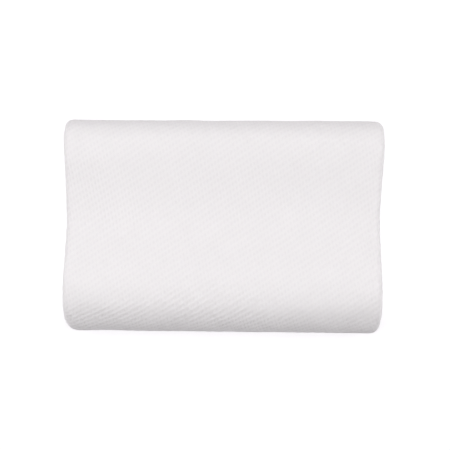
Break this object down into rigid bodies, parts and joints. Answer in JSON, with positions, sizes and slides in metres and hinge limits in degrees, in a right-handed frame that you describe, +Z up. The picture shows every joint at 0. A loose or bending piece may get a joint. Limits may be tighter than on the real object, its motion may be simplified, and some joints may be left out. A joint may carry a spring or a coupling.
{
  "type": "cervical pillow",
  "caption": "Wave-shaped neck pillow in a knitted cover: low rear roll, shallow hollow for the head, high front roll and a flat base.",
  "frame": {"origin": "on the resting surface, under the middle of the pillow", "axes": "+X along the pillow to its right end, +Y towards the low rear roll, +Z up"},
  "size_m": [0.6, 0.4, 0.106],
  "materials": {
    "knitted_cover": "matt white double knit with small slanting dimples"
  },
  "bodies": {
    "root": {"pillow": "knitted_cover"}
  },
  "joints": []
}
